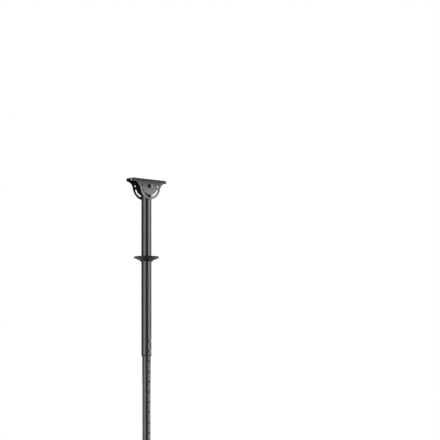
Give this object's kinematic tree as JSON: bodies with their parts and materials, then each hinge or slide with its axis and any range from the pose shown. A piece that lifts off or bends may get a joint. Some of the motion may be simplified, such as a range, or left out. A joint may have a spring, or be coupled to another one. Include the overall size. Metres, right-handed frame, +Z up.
{
  "type": "tv ceiling mount",
  "caption": "Telescopic tv ceiling mount: a belled ceiling bracket with arc slots tilts a round pole, a conical cover slides on it, and a screen plate hangs from its inner tube.",
  "frame": {"origin": "centre of the ceiling bracket's top face, in the ceiling plane", "axes": "+Z up into the ceiling, the pole's bolts along Y, the screen plate facing -Y"},
  "size_m": [0.23, 0.1705, 1.545],
  "materials": {
    "powder_coated_steel": "black satin powder coat on steel",
    "black_bolts": "black zinc steel bolts, nuts and washers",
    "black_plastic": "moulded black plastic",
    "nylon_washers": "black nylon washers",
    "grip_rubber": "black rubber"
  },
  "bodies": {
    "ceiling_bracket": {"ceiling_bracket": "powder_coated_steel"},
    "pole": {"outer_tube": "powder_coated_steel", "pivot_bolt": "black_bolts", "pivot_nut": "black_bolts", "pivot_washers": "black_bolts", "lock_bolt": "black_bolts", "lock_nut": "black_bolts", "lock_washers": "black_bolts", "spring_washers": "black_bolts", "side_washers": "nylon_washers", "guide_bush": "black_plastic", "height_bolt_1": "black_bolts", "height_bolt_2": "black_bolts"},
    "cover": {"ceiling_cover": "black_plastic", "cover_grip": "grip_rubber"},
    "inner_pole": {"inner_tube": "powder_coated_steel", "slide_ring": "black_plastic", "end_cap": "black_plastic", "head_yoke": "powder_coated_steel", "sleeve_bolts": "black_bolts", "tilt_bracket": "powder_coated_steel", "tilt_bolts": "black_bolts", "tilt_nuts": "black_bolts", "tilt_washers": "black_bolts", "tilt_spring_washers": "black_bolts", "screen_plate": "powder_coated_steel", "plate_bolts": "black_bolts", "plate_nuts": "black_bolts"}
  },
  "joints": [
    {"name": "pole_tilt", "type": "hinge", "parent": "ceiling_bracket", "child": "pole", "pos_m": [0, 0, -0.035], "axis": [0, 1, 0], "range_deg": [-64, 64]},
    {"name": "cover_slide", "type": "slide", "parent": "pole", "child": "cover", "axis": [0, 0, -1], "range_m": [-0.25, 0.37]},
    {"name": "height_slide", "type": "slide", "parent": "pole", "child": "inner_pole", "axis": [0, 0, -1], "range_m": [-0.4, 0.1]}
  ]
}
